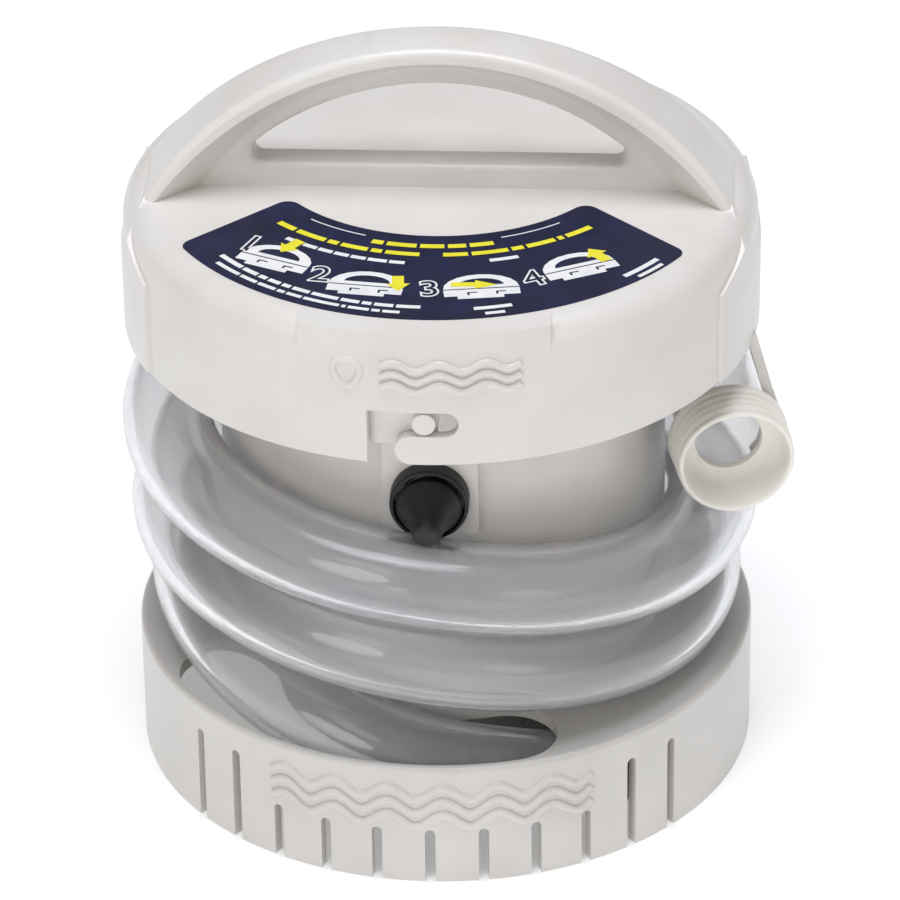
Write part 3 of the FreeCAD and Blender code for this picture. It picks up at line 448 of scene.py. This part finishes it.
# Lines of print: centre on the Y axis, radius, first and last angle, width, and relative word lengths.
YELLOW_LINES = ((HEADING_CENTRE, 45.2, -17, 17, 1.7, (2, 5, 4, 3, 4)),
                (HEADING_CENTRE, 49.0, -44, -3, 1.6, (4, 6, 2, 5, 2, 6)),
                (HEADING_CENTRE, 49.0, 3, 44, 1.6, (4, 6, 2, 5, 1, 5)))
WHITE_LINES = ((HEADING_CENTRE, 53.0, -37, -6, 1.3, (5, 4, 4, 4, 4, 5, 4)),
               (HEADING_CENTRE, 52.6, 14, 21, 1.3, (5,)),
               (0, 58.4, -51, -1, 1.3, (7, 4, 2, 3, 2, 4, 6, 4, 2, 4, 5)),
               (0, 61.0, -49, -5, 1.1, (8, 5, 5, 2, 4, 9, 1, 5, 2, 4)),
               (0, 59.6, 10, 18, 1.3, (6,)),
               (0, 62.0, 12, 16, 1.1, (4,)),
               (0, 60.4, 44, 54, 1.3, (6,)),
               (0, 62.6, 46, 53, 1.0, (5,)))
# Thin rules beside the middle heading: radius, first and last angle, width.
RULE = (43.2, 20, 39, 0.35)
# The four steps: number, angle and tilt of its picture of the cap, and angle of its numeral.
STEPS = ((1, -41, -24, -51.5), (2, -15, -7, -27.5), (3, 13, 8, 0.5), (4, 39, 26, 26.5))
PICTURE_RADIUS, NUMERAL_RADIUS = 51.5, 50.6
NUMERAL_HEIGHT, NUMERAL_EDGE, NUMERAL_CORE = 9.2, 0.42, -0.02
CAP_SKIRT = [(-8.2, 0.2), (-8.2, -2.6), (-5.4, -2.6), (-5.4, -3.8), (4.6, -3.8), (4.6, -2.6), (8.2, -2.6),
             (8.2, 0.2)]
NOTCH = ((0, -1.0), (2.2, -1.0), (2.2, -1.4), (0.5, -1.4), (0.5, -2.3), (0, -2.3))
NOTCH_PLACES = (-3.2, 3.0)
ARROW = [(0, -3.4), (2.6, -0.2), (1.3, -0.2), (1.3, 3.2), (-1.3, 3.2), (-1.3, -0.2), (-2.6, -0.2)]
# Arrows: stretch in X and Y, angle and radius on the deck, and turn.
ARROWS = ((1, 1, -43.5, 44.6, -38), (1, 1, -7.6, 48.6, 4), (0.72, 1.5, 11.5, 49.2, 92),
          (-1, -1, 46.5, 49.6, 40))


def make_label_print():
    """Headings, lines, numerals and four pictures of the cap, each with an arrow."""
    white, yellow = Print("label_print_white", "ink_white", 1), Print("label_print_yellow", "ink_yellow", 3)
    navy = Print("label_print_navy", "label", 2)
    for line in YELLOW_LINES:
        yellow.words(*line)
    radius, first, last, width = RULE
    for side in (-1, 1):
        white.bar(HEADING_CENTRE, radius, first * side, last * side, width)
    for line in WHITE_LINES:
        white.words(*line)
    for number, angle, tilt, numeral_angle in STEPS:
        at = on_label(angle, PICTURE_RADIUS)
        white.shape(dome(8.2, 6.0, 0.6), at, tilt)
        white.shape(CAP_SKIRT, at, tilt)
        navy.shape(dome(5.0, 2.9, 1.9), at, tilt)
        for place in NOTCH_PLACES:
            navy.shape([(place + x, y) for x, y in NOTCH], at, tilt)
        spot = on_label(numeral_angle, NUMERAL_RADIUS)
        white.numeral(str(number), spot, tilt, NUMERAL_HEIGHT, NUMERAL_EDGE)
        navy.numeral(str(number), spot, tilt, NUMERAL_HEIGHT, NUMERAL_CORE)
    for across, along, angle, radius, turn in ARROWS:
        yellow.shape([(x * across, y * along) for x, y in ARROW], on_label(angle, radius), turn)
    for ink in (white, navy, yellow):
        ink.made()


make_label_print()

# ---------------------------------------------------------------- raised ornaments


def beads(name, lines, radius_mm, body, finish):
    """Raised rounded ridges along lines of points."""
    bm = bmesh.new()
    for line in lines:
        curve = spline_curve("line", line, radius_mm * MM, 3)
        mesh = bpy.data.meshes.new_from_object(curve)
        bpy.data.objects.remove(curve)
        bm.from_mesh(mesh)
    bmesh.ops.remove_doubles(bm, verts=bm.verts, dist=OWN_MERGE)
    piece(name, bm, finish, body, smooth=50)


def on_drum(x, radius, z):
    """Point on the front of a drum, x millimetres round it from the middle."""
    return on_coil(-90 + math.degrees(x / radius), radius, z)


def wave(first, last, radius, z, rise, length):
    """Rolling line round the front of a drum."""
    count = round((last - first) / length * 8)
    return [on_drum(x, radius, z + rise * math.sin(math.tau * (x - first) / length))
            for x in (first + (last - first) * i / count for i in range(count + 1))]


DRUM_RADIUS = 70.5
# Foot: three long waves, each a bead sunk a little into the wall.
FOOT_WAVE_HEIGHTS, FOOT_WAVE_HALF, FOOT_BEAD, FOOT_SUNK = (23.4, 19.9, 16.4), 37, 1.15, 0.35
# The waves take the foot's greyer copy of the white ABS, which is painted shade.
beads("foot_waves", [wave(-FOOT_WAVE_HALF, FOOT_WAVE_HALF, DRUM_RADIUS - FOOT_SUNK, z, 1.7, 12.3)
                     for z in FOOT_WAVE_HEIGHTS], FOOT_BEAD, "pump", "foot_plastic_painted_shade")
# Cap: three short waves and the outline of a drop beside them.
CAP_WAVE_HEIGHTS, CAP_BEAD, CAP_PROUD = (132.3, 129.8, 127.3), 0.85, 0.05
DROP_X, DROP_Z, DROP_HALF, DROP_TALL, DROP_SUNK, DROP_POINTS = -16.5, 129.9, 3.0, 3.4, 0.25, 12
drop = [on_drum(DROP_X + DROP_HALF * math.sin(t) * (1 - 0.3 * math.cos(t)), DRUM_RADIUS - DROP_SUNK,
                DROP_Z - DROP_TALL * math.cos(t))
        for t in (math.tau * i / DROP_POINTS for i in range(DROP_POINTS + 1))]
beads("cap_waves", [wave(-9, 21, DRUM_RADIUS + CAP_PROUD, z, 1.0, 10) for z in CAP_WAVE_HEIGHTS] + [drop],
      CAP_BEAD, "cap", "white_plastic")


# ---------------------------------------------------------------- stage and light
FLOOR_HALF, FLOOR_DROP, FLOOR_ROUGHNESS, FLOOR_GLOW = 6, 0.2 * MM, 0.9, 0.26
WHITE = "#ffffff"
STUDIO_STRENGTH = 0.30
# Soft discs: name, azimuth, elevation, distance, diameter, watts, colour.
LIGHTS = (("key", -24, 22, 1.5, 0.7, 3.5, WHITE), ("fill", 40, 14, 1.6, 0.6, 1.1, WHITE),
          ("top", 5, 84, 1.3, 0.9, 12.3, "#f5f8ff"))


def make_floor():
    """White paper that glows a little, so that it stays white around the object."""
    bm = bmesh.new()
    bmesh.ops.create_grid(bm, x_segments=1, y_segments=1, size=FLOOR_HALF)
    mesh = bpy.data.meshes.new("floor")
    bm.to_mesh(mesh)
    bm.free()
    floor = link(bpy.data.objects.new("floor", mesh))
    floor.location.z = -FLOOR_DROP
    paper = bpy.data.materials.new("white_paper")
    paper.use_nodes = True
    shader = paper.node_tree.nodes["Principled BSDF"]
    for socket, value in (("Base Color", linear(WHITE)), ("Roughness", FLOOR_ROUGHNESS),
                          ("Emission Color", linear(WHITE)), ("Emission Strength", FLOOR_GLOW)):
        shader.inputs[socket].default_value = value
    mesh.materials.append(paper)


def area_light(name, azimuth, elevation, distance, size, power, tint):
    """Disc-shaped soft light aimed at the object."""
    data = bpy.data.lights.new(name, "AREA")
    data.shape, data.size, data.energy, data.color = "DISK", size, power, linear(tint)[:3]
    light = link(bpy.data.objects.new(name, data))
    away = outward(azimuth, elevation)
    light.location = LOOK_AT + away * distance
    light.rotation_mode = "QUATERNION"
    light.rotation_quaternion = away.to_track_quat("Z", "Y")


def make_light():
    """Pale even surroundings and the soft lights."""
    world = bpy.data.worlds.new("studio")
    world.use_nodes = True
    background = world.node_tree.nodes["Background"]
    background.inputs["Color"].default_value = linear(WHITE)
    background.inputs["Strength"].default_value = STUDIO_STRENGTH
    bpy.context.scene.world = world
    for light in LIGHTS:
        area_light(*light)
    bpy.context.scene.view_settings.view_transform = "Standard"


make_floor()
make_light()
